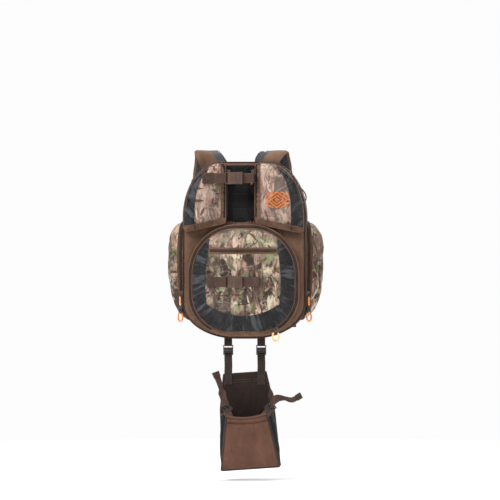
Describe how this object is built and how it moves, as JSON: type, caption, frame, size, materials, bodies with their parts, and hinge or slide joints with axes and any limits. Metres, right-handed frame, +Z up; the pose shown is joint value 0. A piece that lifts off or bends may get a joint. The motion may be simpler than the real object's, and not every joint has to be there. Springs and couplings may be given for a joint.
{
  "type": "hunting backpack",
  "caption": "Soft hunting daypack with front and side pockets, a rifle channel with quick release straps, and a drop-down rifle boot.",
  "frame": {"origin": "centre of the lumbar pad's flat face, which rests on the wearer", "axes": "+Z up, +Y from the pack towards the wearer, +X to the right of somebody facing the front pockets"},
  "size_m": [0.4, 0.2931, 0.8209],
  "materials": {
    "camo_fabric": "camouflage print polyester",
    "brown_fabric": "brown nylon pack cloth",
    "black_fabric": "black ripstop nylon",
    "mesh_fabric": "black padded spacer mesh",
    "webbing": "woven brown nylon webbing",
    "black_webbing": "woven black nylon webbing",
    "buckle_plastic": "moulded acetal",
    "sheet_plastic": "extruded polyethylene sheet",
    "zip_coil": "nylon coil zip",
    "slider_metal": "black lacquered zinc",
    "pull_cord": "braided cord with an orange sleeve",
    "shock_cord": "braid covered elastic cord",
    "patch_thread": "orange embroidery"
  },
  "bodies": {
    "pack": {"back_shell": "black_fabric", "frame_sheet": "sheet_plastic", "lumbar_pad": "mesh_fabric", "back_pads": "mesh_fabric", "haul_loop": "webbing", "main_zip": "zip_coil", "shoulder_strap_left": "brown_fabric", "shoulder_strap_right": "brown_fabric", "strap_webbing": "black_webbing", "strap_ladder_locks": "buckle_plastic", "side_pocket_left": "camo_fabric", "side_pocket_right": "camo_fabric", "side_zip_left": "zip_coil", "side_zip_right": "zip_coil"},
    "front_panel": {"front_shell": "brown_fabric", "channel_pad": "brown_fabric", "top_pocket_left": "camo_fabric", "top_pocket_right": "camo_fabric", "top_zip_left": "zip_coil", "top_zip_right": "zip_coil", "front_pocket": "camo_fabric", "front_zip": "zip_coil", "patch": "patch_thread", "shock_cord_left": "shock_cord", "shock_cord_right": "shock_cord", "cord_keepers": "webbing", "upper_strap": "webbing", "upper_buckle_female": "buckle_plastic", "lower_strap": "webbing", "lower_buckle_female": "buckle_plastic"},
    "upper_male": {"upper_buckle_male": "buckle_plastic"},
    "lower_male": {"lower_buckle_male": "buckle_plastic"},
    "boot_hanger": {"boot_tabs": "webbing", "boot_buckle_females": "buckle_plastic"},
    "boot": {"boot_buckle_males": "buckle_plastic", "boot_webbing": "webbing", "boot_back": "brown_fabric", "boot_front": "brown_fabric", "boot_gussets": "black_fabric", "boot_ladder_locks": "buckle_plastic", "boot_cinch": "webbing"},
    "sternum": {"sternum_strap": "black_webbing", "sternum_buckle_female": "buckle_plastic"},
    "sternum_male": {"sternum_buckle_male": "buckle_plastic"},
    "side_left_slider": {"side_slider_left": "slider_metal"},
    "side_left_pull": {"side_pull_left": "pull_cord"},
    "side_right_slider": {"side_slider_right": "slider_metal"},
    "side_right_pull": {"side_pull_right": "pull_cord"},
    "main_left_slider": {"main_slider_left": "slider_metal"},
    "main_left_pull": {"main_pull_left": "pull_cord"},
    "main_right_slider": {"main_slider_right": "slider_metal"},
    "main_right_pull": {"main_pull_right": "pull_cord"},
    "top_left_slider": {"top_slider_left": "slider_metal"},
    "top_left_pull": {"top_pull_left": "pull_cord"},
    "top_right_slider": {"top_slider_right": "slider_metal"},
    "top_right_pull": {"top_pull_right": "pull_cord"},
    "front_slider": {"front_slider": "slider_metal"},
    "front_pull": {"front_pull": "pull_cord"}
  },
  "joints": [
    {"name": "front_open", "type": "hinge", "parent": "pack", "child": "front_panel", "pos_m": [0, -0.116, -0.07], "axis": [1, 0, 0], "range_deg": [0, 50]},
    {"name": "upper_release", "type": "slide", "parent": "front_panel", "child": "upper_male", "axis": [1, 0, 0], "range_m": [0, 0.018]},
    {"name": "lower_release", "type": "slide", "parent": "front_panel", "child": "lower_male", "axis": [1, 0, 0], "range_m": [0, 0.018]},
    {"name": "boot_swing", "type": "hinge", "parent": "pack", "child": "boot_hanger", "pos_m": [0, -0.106, -0.071], "axis": [1, 0, 0], "range_deg": [-30, 15]},
    {"name": "boot_release", "type": "slide", "parent": "boot_hanger", "child": "boot", "axis": [0, 0, -1], "range_m": [0, 0.01]},
    {"name": "sternum_height", "type": "slide", "parent": "pack", "child": "sternum", "axis": [0, 0, 1], "range_m": [-0.04, 0.04]},
    {"name": "sternum_release", "type": "slide", "parent": "sternum", "child": "sternum_male", "axis": [1, 0, 0], "range_m": [0, 0.015]},
    {"name": "side_left_zip", "type": "slide", "parent": "pack", "child": "side_left_slider", "axis": [0, 0, 1], "range_m": [0, 0.18]},
    {"name": "side_left_swing", "type": "hinge", "parent": "side_left_slider", "child": "side_left_pull", "pos_m": [-0.164, -0.1062, 0.004], "axis": [-1, 0, 0], "range_deg": [0, 100]},
    {"name": "side_right_zip", "type": "slide", "parent": "pack", "child": "side_right_slider", "axis": [0, 0, 1], "range_m": [0, 0.18]},
    {"name": "side_right_swing", "type": "hinge", "parent": "side_right_slider", "child": "side_right_pull", "pos_m": [0.164, -0.1062, 0.004], "axis": [-1, 0, 0], "range_deg": [0, 100]},
    {"name": "main_left_zip", "type": "slide", "parent": "pack", "child": "main_left_slider", "axis": [0, 0, 1], "range_m": [0, 0.2]},
    {"name": "main_left_swing", "type": "hinge", "parent": "main_left_slider", "child": "main_left_pull", "pos_m": [-0.1632, -0.118, 0.046], "axis": [0, 1, 0], "range_deg": [0, 100]},
    {"name": "main_right_zip", "type": "slide", "parent": "pack", "child": "main_right_slider", "axis": [0, 0, 1], "range_m": [0, 0.2]},
    {"name": "main_right_swing", "type": "hinge", "parent": "main_right_slider", "child": "main_right_pull", "pos_m": [0.1632, -0.118, 0.046], "axis": [0, -1, 0], "range_deg": [0, 100]},
    {"name": "top_left_zip", "type": "slide", "parent": "front_panel", "child": "top_left_slider", "axis": [0, 0, -1], "range_m": [0, 0.095]},
    {"name": "top_left_swing", "type": "hinge", "parent": "top_left_slider", "child": "top_left_pull", "pos_m": [-0.0358, -0.1515, 0.354], "axis": [0, -1, 0], "range_deg": [0, 50]},
    {"name": "top_right_zip", "type": "slide", "parent": "front_panel", "child": "top_right_slider", "axis": [0, 0, -1], "range_m": [0, 0.095]},
    {"name": "top_right_swing", "type": "hinge", "parent": "top_right_slider", "child": "top_right_pull", "pos_m": [0.0198, -0.1515, 0.354], "axis": [0, 1, 0], "range_deg": [0, 50]},
    {"name": "front_zip", "type": "hinge", "parent": "front_panel", "child": "front_slider", "pos_m": [0.035, -0.17, 0.042], "axis": [0, -1, 0], "range_deg": [0, 60]},
    {"name": "front_swing", "type": "hinge", "parent": "front_slider", "child": "front_pull", "pos_m": [0.0819, -0.1742, -0.0443], "axis": [-1, 0, 0], "range_deg": [0, 100]}
  ]
}
